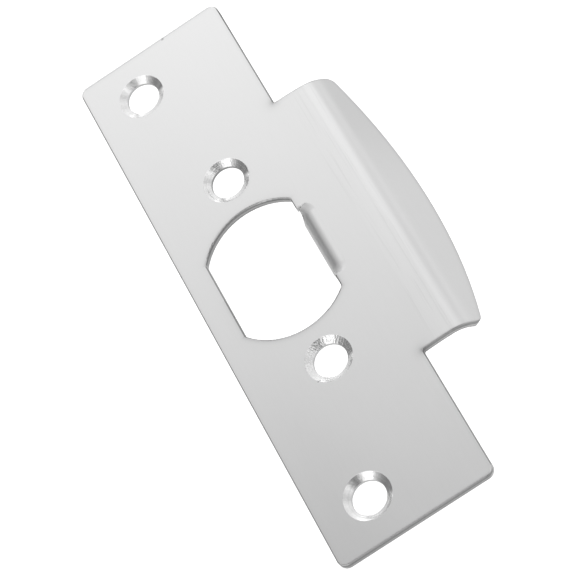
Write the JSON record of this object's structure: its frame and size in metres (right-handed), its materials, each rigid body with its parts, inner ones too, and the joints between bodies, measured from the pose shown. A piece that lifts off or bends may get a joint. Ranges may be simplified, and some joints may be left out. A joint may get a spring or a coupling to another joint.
{
  "type": "door strike plate",
  "caption": "Flat rectangular door strike plate with countersunk screw holes, a rounded latch hole with a turned-back tab, and a long curved lip that bends back at its edge.",
  "frame": {"origin": "midway between the two outer screw holes, on the back face that seats on the door frame", "axes": "+X across the plate towards the lip, +Y along the plate, +Z out of the face that is seen"},
  "size_m": [0.0487, 0.124, 0.0088],
  "materials": {
    "steel": "satin, finely brushed"
  },
  "bodies": {
    "root": {"strike_plate": "steel"}
  },
  "joints": []
}
